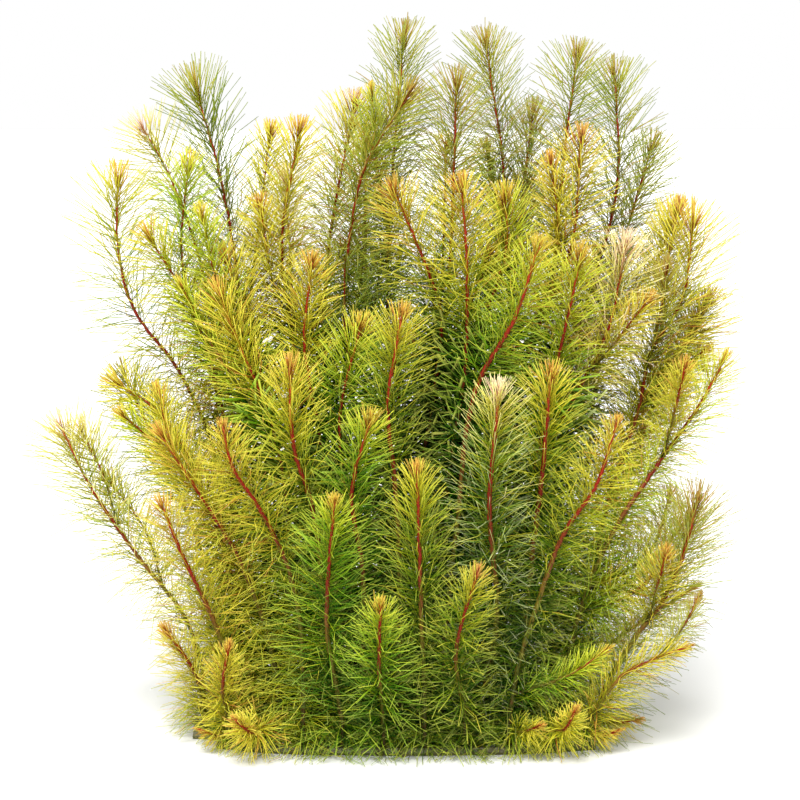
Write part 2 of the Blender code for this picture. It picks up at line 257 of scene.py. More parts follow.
@dataclass(frozen=True)
class StemFinish:
    """Fleshy stem: crimson where it is young, brown and olive where it is old, with a soft shine.

    The stem's map runs from its foot to its tip along U and round it along V, so the eye sees a
    green and brown foot, a red top, and fine darker streaks along the stem.
    """

    name: str = "fleshy_stem"
    ages: tuple[tuple[float, str], ...] = (
        (0.0, "34300F"), (0.2, "505816"), (0.42, "6E6A1C"), (0.56, "7C4A20"), (0.68, "842610"),
        (0.82, "90200E"), (0.93, "9E2C14"), (1.0, "B05C28"),
    )
    streak_colour: str = "6B1A12"
    streaks_round: float = 3.0
    streaks_along: float = 60.0
    streak_detail: float = 3.0
    streak_noise: Pair = (0.45, 0.75)
    streak_share: float = 0.6
    roughness: float = 0.42
    gloss: float = 0.2

    def material(self) -> bpy.types.Material:
        """Make the finish's material.

        Returns:
            The material.
        """
        made, tree = new_material(self.name)
        place = add_node(tree, "UVMap", {"uv_map": BAKE_MAP})
        parts = add_node(tree, "SeparateXYZ", Vector=place.outputs["UV"])
        age = paint_ramp(add_node(tree, "ValToRGB", Fac=parts.outputs["X"]), self.ages)
        streaks = add_node(tree, "Mapping", Vector=place.outputs["UV"],
                           Scale=(self.streaks_along, self.streaks_round, 1.0))
        noise = add_node(tree, "TexNoise", Vector=streaks.outputs["Vector"],
                         Scale=1.0, Detail=self.streak_detail)
        share = add_node(tree, "MapRange", Value=noise.outputs["Fac"],
                         From_Min=self.streak_noise[0], From_Max=self.streak_noise[1],
                         To_Min=0.0, To_Max=self.streak_share)
        colour = add_node(tree, "Mix", {"data_type": "RGBA"},
                          i0=share.outputs["Result"], i6=age, i7=linear(self.streak_colour))
        put_shader(tree, Base_Color=colour.outputs[2], Roughness=self.roughness,
                   Specular_IOR_Level=self.gloss)
        return made


@dataclass(frozen=True)
class RunnerFinish:
    """Creeping runner at the ground: an old fleshy stem with brown skin and olive patches."""

    name: str = "runner_skin"
    skin_colour: str = "54401E"
    patch_colour: str = "5C6826"
    patch_mm: float = 9.0
    patch_detail: float = 4.0
    ridge_mm: float = 1.2
    ridge_detail: float = 2.0
    ridge_depth_mm: float = 0.2
    ridge_strength: float = 0.3
    roughness: float = 0.5
    roughness_swing: float = 0.1

    def material(self) -> bpy.types.Material:
        """Make the finish's material.

        Returns:
            The material.
        """
        made, tree = new_material(self.name)
        place = add_node(tree, "TexCoord").outputs["Object"]
        patches = add_node(tree, "TexNoise", Vector=place,
                           Scale=1 / (self.patch_mm * MM), Detail=self.patch_detail)
        ridges = add_node(tree, "TexNoise", Vector=place,
                          Scale=1 / (self.ridge_mm * MM), Detail=self.ridge_detail)
        colour = add_node(tree, "Mix", {"data_type": "RGBA"},
                          i0=patches.outputs["Fac"], i6=linear(self.skin_colour),
                          i7=linear(self.patch_colour))
        rough = add_node(tree, "MapRange", Value=patches.outputs["Fac"],
                         To_Min=self.roughness - self.roughness_swing,
                         To_Max=self.roughness + self.roughness_swing)
        bump = add_node(tree, "Bump", Height=ridges.outputs["Fac"],
                        Strength=self.ridge_strength, Distance=self.ridge_depth_mm * MM)
        put_shader(tree, Base_Color=colour.outputs[2], Roughness=rough.outputs["Result"],
                   Normal=bump.outputs["Normal"])
        return made


LEAF_FINISHES = {
    finish.tone: finish
    for finish in (
        LeafFinish(LIME, (
            "0A3404", "246206", "6CA212", "A0B81E", "BCC61E", "D0D238", "CCA030", "B47624"
        ), "985A1A", "D8DC60"),
        LeafFinish(GOLDEN, (
            "143C04", "406C08", "90A816", "B8B81E", "CEC424", "DCD040", "C88A2E", "A85A20"
        ), "904418", "DED464"),
        LeafFinish(BLUSH, (
            "1C4608", "507E0C", "92A814", "BEBC24", "DACE48", "EADC8A", "EECFA8", "E2A890"
        ), "D07C64", "F4ECBC"),
        LeafFinish(RUSSET, (
            "164006", "44740A", "7E9C12", "ACB01A", "CAC02A", "D8C846", "BC6A38", "98402A"
        ), "7E2A18", "E0D866"),
        LeafFinish(SAGE, (
            "123C08", "3A640C", "6C841C", "8E9E28", "B0B638", "C8C046", "C4A040", "A86C2C"
        ), "944A1C", "6C7844", end_share=0.55),
    )
}

# How far leaves reach from their stem, how high a foot stands up straight, the top of the runners,
# and how deep a stem begins in its runner, all in millimetres
WIDE_REACH = 26.0
LEAF_REACH = 22.0
SLIM_REACH = 18.0
SHORT_REACH = 16.0
TWIG_REACH = 14.0
TUFT_REACH = 11.0
FOOT_HEIGHT = 6.0
FOOT_GROUND = 4.3
ROOT_DEPTH = 2.5


class Shoot(NamedTuple):
    """A stem as it is planted: its foot on its runner, and the points that it passes to its tip."""

    tone: Tone
    foot: Pair
    route: tuple[Point, ...]
    reach: float = LEAF_REACH

    def knots(self) -> np.ndarray:
        """The stem's points in metres, from inside its runner to its tip."""
        foot = [(*self.foot, FOOT_GROUND + height) for height in (-ROOT_DEPTH, FOOT_HEIGHT)]
        return np.array([*foot, *self.route]) * MM


class Twig(NamedTuple):
    """A small side twig: its shoot, where it forks off as a share of the stem, and its points."""

    shoot: int
    share: float
    tone: Tone
    route: tuple[Point, ...]
    reach: float = SHORT_REACH


class Row(NamedTuple):
    """The shoots along one runner, numbered from left to right, and the twigs that fork off them."""

    zone: str
    shoots: tuple[Shoot, ...]
    twigs: tuple[Twig, ...] = ()


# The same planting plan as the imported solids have, in millimetres, with a tone for every shoot. The
# two shoots with WIDE_REACH have longer leaves here than their solids are wide, and the twigs grow
# here alone.
PLAN = (
    Row("front", (
        Shoot(GOLDEN, (-84, -50), ((-86, -64, 34), (-82, -74, 58)), SHORT_REACH),
        Shoot(GOLDEN, (-66, -57), ((-72, -80, 16), (-79, -94, 26)), SHORT_REACH),
        Shoot(GOLDEN, (-47, -60), ((-55, -54, 93), (-68, -60, 122), (-81, -64, 144), (-85, -66, 163))),
        Shoot(LIME, (-28, -61), ((-35, -74, 66), (-31, -88, 130))),
        Shoot(LIME, (-8, -62), ((-10, -84, 50), (-9, -98, 83))),
        Shoot(GOLDEN, (12, -62), ((10, -76, 80), (8, -86, 146))),
        Shoot(RUSSET, (32, -61), ((27, -82, 58), (37, -95, 98))),
        Shoot(GOLDEN, (53, -60), ((68, -62, 80), (80, -64, 112), (93, -66, 132), (104, -66, 165))),
        Shoot(GOLDEN, (72, -57), ((79, -76, 16), (84, -90, 30)), SHORT_REACH),
        Shoot(GOLDEN, (90, -52), ((97, -60, 24), (108, -63, 40), (123, -63, 48), (140, -62, 54)),
              SHORT_REACH),
    ), (
        Twig(8, 0.16, LIME, ((84, -66, 42), (102, -64, 54)), TWIG_REACH),
        Twig(8, 0.05, GOLDEN, ((60, -70, 14), (68, -82, 20)), TWIG_REACH),
        Twig(1, 0.1, GOLDEN, ((-90, -58, 9), (-99, -64, 14)), TUFT_REACH),
        Twig(10, 0.07, GOLDEN, ((97, -58, 8), (108, -62, 13)), TUFT_REACH),
        Twig(10, 0.8, SAGE, ((138, -54, 62), (146, -50, 77))),
    )),
    Row("near", (
        Shoot(GOLDEN, (-97, -30), ((-101, -42, 36), (-114, -52, 60)), SHORT_REACH),
        Shoot(GOLDEN, (-78, -34), ((-92, -48, 66), (-107, -52, 100), (-115, -54, 121))),
        Shoot(GOLDEN, (-59, -36), ((-81, -40, 97), (-97, -41, 124), (-116, -42, 154))),
        Shoot(GOLDEN, (-40, -38), ((-43, -50, 122), (-51, -55, 150), (-53, -58, 190))),
        Shoot(LIME, (-20, -40), ((-18, -56, 90), (-23, -64, 132), (-14, -70, 166))),
        Shoot(GOLDEN, (0, -40), ((-3, -46, 137), (-6, -47, 166), (1, -50, 214))),
        Shoot(LIME, (20, -40), ((28, -42, 110), (40, -44, 185), (54, -44, 209), (67, -44, 247))),
        Shoot(BLUSH, (40, -38), ((47, -56, 66), (43, -69, 126), (47, -76, 181))),
        Shoot(GOLDEN, (60, -36), ((64, -44, 90), (69, -54, 140), (72, -63, 187))),
        Shoot(LIME, (80, -33), ((101, -26, 95), (131, -14, 140), (150, -8, 166), (161, -6, 187))),
        Shoot(SAGE, (98, -30), ((114, -38, 50), (130, -36, 72), (140, -33, 95), (146, -31, 119)),
              WIDE_REACH),
    ), (
        Twig(10, 0.14, GOLDEN, ((116, -12, 52), (149, 0, 71)), TWIG_REACH),
        Twig(10, 0.3, LIME, ((118, -30, 76), (131, -32, 92))),
        Twig(10, 0.72, GOLDEN, ((136, -22, 166), (140, -28, 188))),
        Twig(3, 0.68, GOLDEN, ((-112, -30, 148), (-119, -22, 174))),
        Twig(11, 0.05, GOLDEN, ((106, -34, 9), (118, -38, 12)), TUFT_REACH),
        Twig(11, 0.5, GOLDEN, ((126, -44, 80), (130, -46, 97))),
        Twig(11, 0.62, SAGE, ((138, -24, 88), (147, -20, 116)), LEAF_REACH),
        Twig(10, 0.36, GOLDEN, ((126, -10, 92), (135, -4, 118)), LEAF_REACH),
        Twig(10, 0.3, LIME, ((124, -12, 84), (143, -8, 106)), LEAF_REACH),
    )),
    Row("middle", (
        Shoot(BLUSH, (-98, -10), ((-106, -12, 54), (-132, -11, 90), (-154, -9, 123), (-168, -8, 152)),
              SLIM_REACH),
        Shoot(GOLDEN, (-80, -13), ((-98, -10, 120), (-120, -4, 160), (-141, 0, 174)), SLIM_REACH),
        Shoot(GOLDEN, (-61, -16), ((-60, -30, 146), (-70, -29, 177), (-80, -27, 200), (-89, -25, 223))),
        Shoot(GOLDEN, (-42, -18), ((-39, -26, 148), (-47, -24, 200), (-43, -22, 237))),
        Shoot(LIME, (-23, -20), ((-26, -28, 110), (-29, -34, 166), (-19, -36, 207))),
        Shoot(GOLDEN, (-4, -21), ((6, -18, 110), (18, -14, 180), (20, -14, 212), (12, -17, 237),
              (-3, -20, 272))),
        Shoot(GOLDEN, (16, -20), ((24, -24, 130), (32, -28, 189), (32, -29, 248), (30, -28, 275))),
        Shoot(LIME, (36, -18), ((36, -12, 110), (40, -8, 200), (53, -8, 248), (52, -8, 268))),
        Shoot(LIME, (56, -16), ((62, -24, 110), (73, -28, 170), (82, -30, 212), (88, -30, 241))),
        Shoot(BLUSH, (76, -13), ((77, -10, 100), (80, -8, 155), (90, -10, 175), (103, -12, 203),
              (111, -13, 245))),
        Shoot(GOLDEN, (96, -8), ((103, -2, 110), (120, 3, 163), (126, 5, 190), (140, 5, 214),
              (146, 5, 253)), WIDE_REACH),
    ), (
        Twig(1, 0.45, GOLDEN, ((-128, 4, 98), (-148, 14, 124)), TWIG_REACH),
        Twig(1, 0.66, BLUSH, ((-148, -2, 126), (-160, 4, 150)), TWIG_REACH),
        Twig(2, 0.62, LIME, ((-122, -12, 146), (-137, -14, 160))),
        Twig(3, 0.66, LIME, ((-92, -22, 196), (-108, -16, 226))),
        Twig(11, 0.62, LIME, ((134, 8, 174), (153, 10, 190))),
        Twig(11, 0.7, SAGE, ((129, -4, 208), (132, -8, 234))),
        Twig(11, 0.78, RUSSET, ((134, 12, 232), (139, 14, 260)), LEAF_REACH),
        Twig(11, 0.62, SAGE, ((140, 14, 184), (153, 18, 214))),
        Twig(6, 0.5, SAGE, ((12, -8, 168), (6, -6, 196))),
        Twig(10, 0.72, GOLDEN, ((108, -20, 200), (122, -24, 220))),
    )),
    Row("heart", (
        Shoot(GOLDEN, (-94, 8), ((-99, 7, 155), (-111, 6, 180), (-134, 6, 213), (-141, 6, 250),
              (-140, 6, 274))),
        Shoot(GOLDEN, (-76, 6), ((-84, 0, 120), (-94, -4, 185), (-106, -6, 218), (-123, -8, 247))),
        Shoot(GOLDEN, (-57, 3), ((-62, 2, 120), (-72, -4, 190), (-86, -8, 238))),
        Shoot(GOLDEN, (-38, 1), ((-44, 4, 120), (-54, 6, 200), (-59, 6, 240), (-50, 6, 299))),
        Shoot(SAGE, (-18, 0), ((-20, 2, 120), (-26, 0, 240), (-17, -2, 283), (4, -4, 318))),
        Shoot(SAGE, (10, 0), ((14, 4, 120), (24, 4, 220), (28, 4, 323))),
        Shoot(RUSSET, (34, 1), ((48, 6, 120), (68, 2, 200), (84, -4, 240), (89, -8, 297))),
        Shoot(SAGE, (56, 4), ((64, 14, 120), (74, 18, 200), (84, 14, 305), (88, 12, 336))),
        Shoot(GOLDEN, (92, 10), ((106, 18, 110), (128, 22, 170), (148, 22, 195), (155, 22, 213))),
    ), (
        Twig(2, 0.72, LIME, ((-108, -6, 240), (-104, -8, 283))),
        Twig(3, 0.7, LIME, ((-90, -14, 226), (-97, -20, 261))),
        Twig(4, 0.66, GOLDEN, ((-64, 0, 228), (-69, 0, 264))),
        Twig(7, 0.66, GOLDEN, ((78, -8, 246), (74, -12, 287))),
        Twig(6, 0.55, LIME, ((36, -4, 216), (44, -8, 240))),
        Twig(4, 0.6, LIME, ((-38, 14, 218), (-29, 20, 241))),
        Twig(5, 0.6, SAGE, ((-20, 12, 222), (-18, 20, 249))),
        Twig(5, 0.5, LIME, ((-14, 14, 206), (-8, 20, 239))),
        Twig(7, 0.45, LIME, ((60, 0, 160), (54, -4, 190))),
        Twig(6, 0.3, SAGE, ((6, 4, 128), (0, 0, 160), (-2, -2, 196)), LEAF_REACH),
        Twig(8, 0.36, SAGE, ((78, 14, 150), (86, 8, 182), (88, 6, 206)), LEAF_REACH),
        Twig(9, 0.7, GOLDEN, ((140, 34, 180), (150, 38, 200))),
    )),
    Row("crown", (
        Shoot(BLUSH, (-86, 30), ((-92, 28, 120), (-98, 26, 220), (-118, 22, 281), (-128, 20, 299))),
        Shoot(SAGE, (-64, 26), ((-72, 24, 120), (-84, 24, 240), (-90, 23, 275), (-102, 22, 320))),
        Shoot(GOLDEN, (-38, 25), ((-38, 26, 120), (-36, 28, 240), (-23, 28, 311))),
        Shoot(SAGE, (-12, 24), ((-8, 22, 120), (-4, 20, 276), (2, 20, 345))),
        Shoot(SAGE, (16, 25), ((28, 25, 120), (46, 25, 220), (52, 25, 268), (43, 25, 342))),
        Shoot(SAGE, (38, 28), ((50, 36, 120), (58, 40, 220), (67, 42, 306))),
        Shoot(SAGE, (64, 28), ((76, 30, 120), (92, 30, 200), (110, 30, 275), (108, 30, 326))),
        Shoot(SAGE, (84, 30), ((96, 37, 120), (104, 46, 200), (120, 44, 262), (128, 42, 290))),
    ), (
        Twig(2, 0.6, GOLDEN, ((-72, 25, 246), (-65, 25, 298))),
        Twig(4, 0.7, LIME, ((-12, 16, 290), (-14, 12, 318))),
        Twig(6, 0.7, LIME, ((50, 44, 258), (44, 48, 288))),
        Twig(8, 0.68, GOLDEN, ((128, 36, 228), (140, 30, 258))),
        Twig(5, 0.4, SAGE, ((24, 24, 172), (18, 22, 202), (16, 20, 226)), LEAF_REACH),
    )),
    Row("back", (
        Shoot(SAGE, (-88, 50), ((-104, 54, 80), (-124, 54, 130), (-142, 50, 170))),
        Shoot(GOLDEN, (-64, 49), ((-76, 58, 100), (-92, 66, 170), (-100, 68, 222))),
        Shoot(BLUSH, (-41, 50), ((-48, 62, 120), (-56, 74, 210), (-60, 78, 272))),
        Shoot(LIME, (-17, 51), ((-18, 64, 130), (-18, 78, 230), (-18, 82, 295))),
        Shoot(LIME, (8, 51), ((14, 64, 130), (22, 78, 220), (24, 82, 288))),
        Shoot(RUSSET, (32, 52), ((42, 64, 120), (58, 74, 210), (66, 76, 268))),
        Shoot(GOLDEN, (56, 52), ((72, 62, 100), (94, 70, 180), (104, 70, 232))),
        Shoot(SAGE, (80, 50), ((100, 58, 80), (122, 58, 130), (140, 54, 176))),
    ), (
        Twig(1, 0.6, LIME, ((-126, 64, 132), (-128, 72, 160))),
        Twig(4, 0.6, LIME, ((-6, 84, 200), (0, 92, 232))),
        Twig(8, 0.55, GOLDEN, ((122, 70, 120), (128, 78, 150))),
        Twig(3, 0.03, LIME, ((-44, 58, 9), (-50, 68, 13)), TUFT_REACH),
        Twig(7, 0.03, LIME, ((60, 60, 9), (66, 69, 12)), TUFT_REACH),
    )),
    Row("rear", (
        Shoot(LIME, (-30, 70), ((-36, 92, 60), (-42, 106, 110))),
        Shoot(GOLDEN, (20, 71), ((26, 92, 66), (34, 106, 130))),
    )),
)


@dataclass
class Axis:
    """The line that a stem or twig follows from its foot to its tip, and the look of its leaves."""

    name: str
    tone: Tone
    line: np.ndarray
    reach: float
    stem: float = 1.0
    forks: bool = False
    places: np.ndarray = field(init=False)

    def __post_init__(self) -> None:
        """Measure the line."""
        steps = np.linalg.norm(np.diff(self.line, axis=0), axis=1)
        self.places = np.concatenate([[0.0], np.cumsum(steps)])

    @property
    def length(self) -> float:
        """The length from foot to tip in metres."""
        return float(self.places[-1])

    def at(self, places: np.ndarray) -> np.ndarray:
        """The points at the given distances from the foot."""
        return np.stack([np.interp(places, self.places, self.line[:, k]) for k in range(3)], axis=1)

    def directions(self, places: np.ndarray, span: float = 3 * MM) -> np.ndarray:
        """The unit directions of growth at the given distances from the foot."""
        runs = self.at(places + span) - self.at(places - span)
        return runs / np.linalg.norm(runs, axis=1, keepdims=True)


def smooth_line(knots: np.ndarray, step: float) -> np.ndarray:
    """Lay a smooth line through some points.

    Args:
        knots: The points to pass through.
        step: The distance between the line's own points.

    Returns:
        The line's points.
    """
    chords = np.linalg.norm(np.diff(knots, axis=0), axis=1)
    slopes = np.gradient(knots, np.concatenate([[0.0], np.cumsum(chords)]), axis=0)
    line = [knots[:1]]
    for index, length in enumerate(chords):
        share = np.linspace(0.0, 1.0, max(2, math.ceil(length / step)) + 1)[1:, None]
        ease = 3 * share**2 - 2 * share**3
        line.append(
            between(knots[index], knots[index + 1], ease)
            + (share**3 - 2 * share**2 + share) * length * slopes[index]
            + (share**3 - share**2) * length * slopes[index + 1])
    return np.vstack(line)


@dataclass
class NeedleLeaf:
    """One needle leaf, modelled once: three-sided and flattened, with a blunt end."""

    # Place along the leaf and width, both as a share
    stations: Table = ((0.0, 0.75), (0.5, 1.0), (1.0, 0.8))
    sides: int = 3
    flatness: float = 0.6
    points: np.ndarray = field(init=False)
    faces: list[tuple[int, ...]] = field(init=False)

    def __post_init__(self) -> None:
        """Model the leaf with operators, one unit long and one unit wide, and keep its shape."""
        (start, width), *rest = self.stations
        bpy.ops.object.select_all(action="DESELECT")
        bpy.ops.mesh.primitive_circle_add(vertices=self.sides, radius=width / 2, fill_type="NGON")
        blade = bpy.context.object
        bpy.ops.object.mode_set(mode="EDIT")
        bpy.ops.mesh.select_all(action="SELECT")
        for place, following in rest:
            bpy.ops.mesh.extrude_region_move(
                TRANSFORM_OT_translate={"value": (0.0, 0.0, place - start)})
            bpy.ops.transform.resize(value=(following / width, following / width, 1.0))
            start, width = place, following
        bpy.ops.mesh.select_all(action="SELECT")
        bpy.ops.transform.resize(value=(1.0, self.flatness, 1.0), center_override=(0.0, 0.0, 0.0))
        bpy.ops.mesh.normals_make_consistent(inside=False)
        bpy.ops.object.mode_set(mode="OBJECT")
        self.points = np.array([vert.co[:] for vert in blade.data.vertices])
        self.faces = [tuple(face.vertices) for face in blade.data.polygons]
        bpy.data.objects.remove(blade)


@dataclass
class Seeds:
    """Where each of many needle leaves stands and how it grows, one array entry for a leaf."""

    base: np.ndarray
    along: np.ndarray
    out: np.ndarray
    lean: np.ndarray
    bend: np.ndarray
    sag: np.ndarray
    sway: np.ndarray
    roll: np.ndarray
    length: np.ndarray
    width: np.ndarray
    shade: np.ndarray

    @classmethod
    def joined(cls, several: "list[Seeds]") -> "Seeds":
        """Put several lots of seeds in one."""
        return cls(*[np.concatenate([getattr(seeds, name) for seeds in several])
                     for name in cls.__dataclass_fields__])


@dataclass(frozen=True)
class Oval:
    """An upright oval through the clump, by its middle and its half sizes in millimetres."""

    middle: Pair
    halves: Pair

    def reach(self, points: np.ndarray) -> np.ndarray:
        """How far out points are as seen from the front: 0 in the middle and 1 on the oval."""
        offsets = (points[:, [0, 2]] / MM - self.middle) / self.halves
        return np.hypot(*offsets.T)


@dataclass
class Mood:
    """How a row's leaves fill out and colour, by their age and by where in the clump they are."""

    # Its stems' thickness and its leaves' width and lean, as shares of the full size
    stem: float = 1.0
    blade: float = 1.0
    lean: float = 1.0
    # How far its tips stand open as domes, from 0 for a narrow cone to 1
    dome: float = 0.0
    # How many old leaves lie round its feet, as a share of the full number
    litter: float = 1.0
    # How far below its tips a row's leaves are hidden inside the clump, how far to each side and up
    # the hidden part goes, in millimetres, and the share of their shade that hidden leaves keep, which
    # darkens them as painted shade inside the clump
    deep_from: float = math.inf
    deep_sides: float = 84.0
    deep_top: float = 196.0
    deep_shade: float = 0.55
    # Distance from the tip in millimetres, and the shade on the finish's scale of ages. In the green
    # heart old leaves sink low on it partly by age and partly as painted shade; the golden old leaves
    # elsewhere stay high on it partly by their tone and partly as painted light on edges lit from
    # behind
    green_shades: Table = (
        (0, 0.97), (6, 0.92), (9, 0.76), (16, 0.58), (30, 0.44), (60, 0.28), (100, 0.14), (180, 0.07))
    golden_shades: Table = (
        (0, 0.98), (6, 0.93), (9, 0.82), (30, 0.73), (60, 0.69), (100, 0.65), (220, 0.58))
    # Likewise, how much the shade differs from leaf to leaf, and how much a free leaf's shade falls
    spreads: Table = ((0, 0.05), (20, 0.1), (60, 0.18))
    fading: Table = ((0, 0.05), (4, 0.12), (20, 0.3))
    shade_limits: Pair = (0.02, 0.98)
    # The closed body of the clump, outside which its shoots stand free
    body: Oval = Oval((30.0, 70.0), (140.0, 230.0))
    body_edge: float = 0.32
    # The green heart of the clump, whose old leaves are also darkened there as painted shade: how green
    # it is in the middle, and how fast that ends outwards
    heart: Oval = Oval((15.0, 90.0), (66.0, 118.0))
    heart_depth: float = 2.2
    heart_edge: float = 1.6

    def deep(self, age_mm: np.ndarray, points: np.ndarray) -> np.ndarray:
        """Which leaves are hidden in the clump, by their distance from the tip and their place."""
        inside = np.abs(points[:, 0]) < self.deep_sides * MM
        return (age_mm > self.deep_from) & inside & (points[:, 2] < self.deep_top * MM)

    def openness(self, points: np.ndarray) -> np.ndarray:
        """How freely leaves stand: 0 inside the body of the clump and up to 1 well outside it."""
        return np.clip((self.body.reach(points) - 1.0) / self.body_edge, 0.0, 1.0)

    def shades(self, age_mm: np.ndarray, points: np.ndarray,
               rng: np.random.Generator) -> np.ndarray:
        """Choose each leaf's place on the scale from old to young, with painted shade in the clump's
        green heart and painted light on its golden edges.

        Args:
            age_mm: Each leaf's distance from the tip in millimetres.
            points: Where each leaf grows, in metres.
            rng: The random numbers for this stem.

        Returns:
            The shades, from 0 for the oldest to 1 for the tip's youngest, lower in the heart as painted
            shade.
        """
        inside = np.clip(self.heart_depth - self.heart_edge * self.heart.reach(points), 0.0, 1.0)
        green = read_off(self.green_shades, age_mm)
        golden = read_off(self.golden_shades, age_mm)
        faded = read_off(self.fading, age_mm) * self.openness(points)
        spread = read_off(self.spreads, age_mm)
        # The heart's lower shades are partly painted shade, the golden edges' higher ones partly
        # painted light
        shade = between(golden, green, inside) * (1 - faded)
        return np.clip(shade + rng.normal(0, 1, len(age_mm)) * spread, *self.shade_limits)


@dataclass
class Foliage:
    """Whorls of needle leaves: how they stand on a stem, and how they become one mesh."""

    leaf: NeedleLeaf = field(default_factory=NeedleLeaf)
    # A leaf's length for its stem's reach, how much it gains where it stands free, the reach from
    # which a tip is a full dome, and the width in the clump, where it stands free and inside
    leaf_per_reach: float = 1.18
    open_growth: float = 0.14
    wide_from: float = 23.0 * MM
    width: float = 0.42 * MM
    open_width: float = 0.6 * MM
    deep_width: float = 1.7 * MM
    # How whorls are spaced and filled: at the tip, in the clump, where they stand free and inside
    first_whorl: float = 0.5 * MM
    tip_spacing: float = 1.3 * MM
    whorl_spacing: float = 2.42 * MM
    open_spacing: float = 4.0 * MM
    deep_spacing: float = 3.9 * MM
    spacing_from: float = 22.0 * MM
    tip_leaves: int = 8
    whorl_leaves: int = 11
    deep_leaves: int = 8
    # How much leaves differ in turn, place, lean and bend in degrees, sag, sway, roll and size
    turn_spread: float = 0.22
    age_spread: float = 0.5 * MM
    stem_lean_spread: float = 4.0
    lean_spread: float = 9.0
    bend_spread: float = 9.0
    sag_range: Pair = (0.4, 1.7)
    sway_spread: float = 0.05
    rolls: Pair = (-0.8, 0.8)
    stem_growth_spread: float = 0.05
    length_spread: float = 0.08
    length_limits: Pair = (0.7, 1.1)
    width_range: Pair = (0.85, 1.15)
    # The youngest leaves, folded together at the tip
    bud_leaves: int = 16
    bud_depth: float = 2.0 * MM
    bud_lean: Pair = (2.0, 12.0)
    bud_bends: Pair = (-12.0, 2.0)
    bud_sway: float = 0.04
    bud_length: Pair = (0.1, 0.17)
    bud_widths: Pair = (0.9, 1.2)
    bud_shades: Pair = (0.92, 0.985)
    # Old leaves, which hang round the feet and along the runners
    skirt_leaves: int = 26
    skirt_top: float = 14.0 * MM
    runner_gap: float = 0.4 * MM
    runner_turn: float = math.radians(105)
    old_leans: Pair = (55.0, 105.0)
    old_bends: Pair = (5.0, 50.0)
    old_sags: Pair = (0.1, 0.6)
    old_sway: float = 0.12
    old_lengths: Pair = (0.6, 1.0)
    old_widths: Pair = (0.9, 1.3)
    old_shades: Pair = (0.1, 0.5)
    # The bare end of a foot, how far up leaves sag to the ground and how much, and how low they come
    bare_foot: float = 1.5 * MM
    skirt: float = 24.0 * MM
    skirt_sag: float = 0.35
    ground: float = 0.8 * MM
    # The least bend that can be worked out, and the width of a leaf on its map
    least_bend: float = math.radians(1)
    map_width: float = 0.006
    map_digits: int = 6
    # Distance from the tip in millimetres, and the leaf's lean from the stem in degrees, where
    # leaves stand close and where they stand free
    leans: Table = (
        (0, 14), (5, 22), (9, 34), (14, 44), (24, 53), (45, 60), (80, 66), (220, 80))
    open_leans: Table = (
        (0, 16), (3, 30), (7, 42), (12, 50), (24, 57), (45, 62), (80, 66), (220, 80))
    # Likewise, the share of the full length
    lengths: Table = (
        (0, 0.14), (5, 0.24), (8, 0.44), (16, 0.62), (30, 0.86), (46, 1.0), (240, 0.95))
    open_lengths: Table = (
        (0, 0.42), (4, 0.6), (7, 0.8), (11, 0.95), (16, 1.0), (140, 0.98), (240, 0.9))
    # Likewise, how far the leaf's end turns in degrees, how much the leaves differ from one
    # another, and how far the end sags as a share of the length
    bends: Table = ((0, 0), (20, -2), (60, 0), (140, 6))
    mess: Table = ((0, 0.6), (20, 1.0), (60, 1.7), (120, 2.3))
    sags: Table = ((0, 0.0), (40, 0.0), (80, 0.04), (160, 0.1))

    def whorl_ages(self, axis: Axis, mood: Mood) -> np.ndarray:
        """Space a stem's whorls.

        Args:
            axis: The stem's line.
            mood: How its row fills out.

        Returns:
            Each whorl's distance from the tip.
        """
        ages = [self.first_whorl]
        while ages[-1] < axis.length - self.bare_foot:
            share = min(1.0, ages[-1] / self.spacing_from)
            place = axis.at(np.array([axis.length - ages[-1]]))
            free = mood.openness(place)[0]
            full = between(self.whorl_spacing, self.open_spacing, free)
            if mood.deep(ages[-1] / MM, place)[0]:
                full = self.deep_spacing
            ages.append(ages[-1] + self.tip_spacing * (1 - share) + full * share)
        return np.array(ages[:-1])

    def stand(self, axis: Axis, age: np.ndarray, turn: np.ndarray) -> dict[str, np.ndarray]:
        """Stand leaves on a stem.

        Args:
            axis: The stem's line.
            age: Each leaf's distance from the tip.
            turn: The angle round the stem that each leaf grows at.

        Returns:
            The leaves' bases, and their directions along the stem and out from it.
        """
        places = axis.length - age
        along = axis.directions(places)
        side = np.cross(along, ACROSS)
        side /= np.linalg.norm(side, axis=1, keepdims=True)
        out = side * np.cos(turn)[:, None] + np.cross(along, side) * np.sin(turn)[:, None]
        return {"base": axis.at(places), "along": along, "out": out}

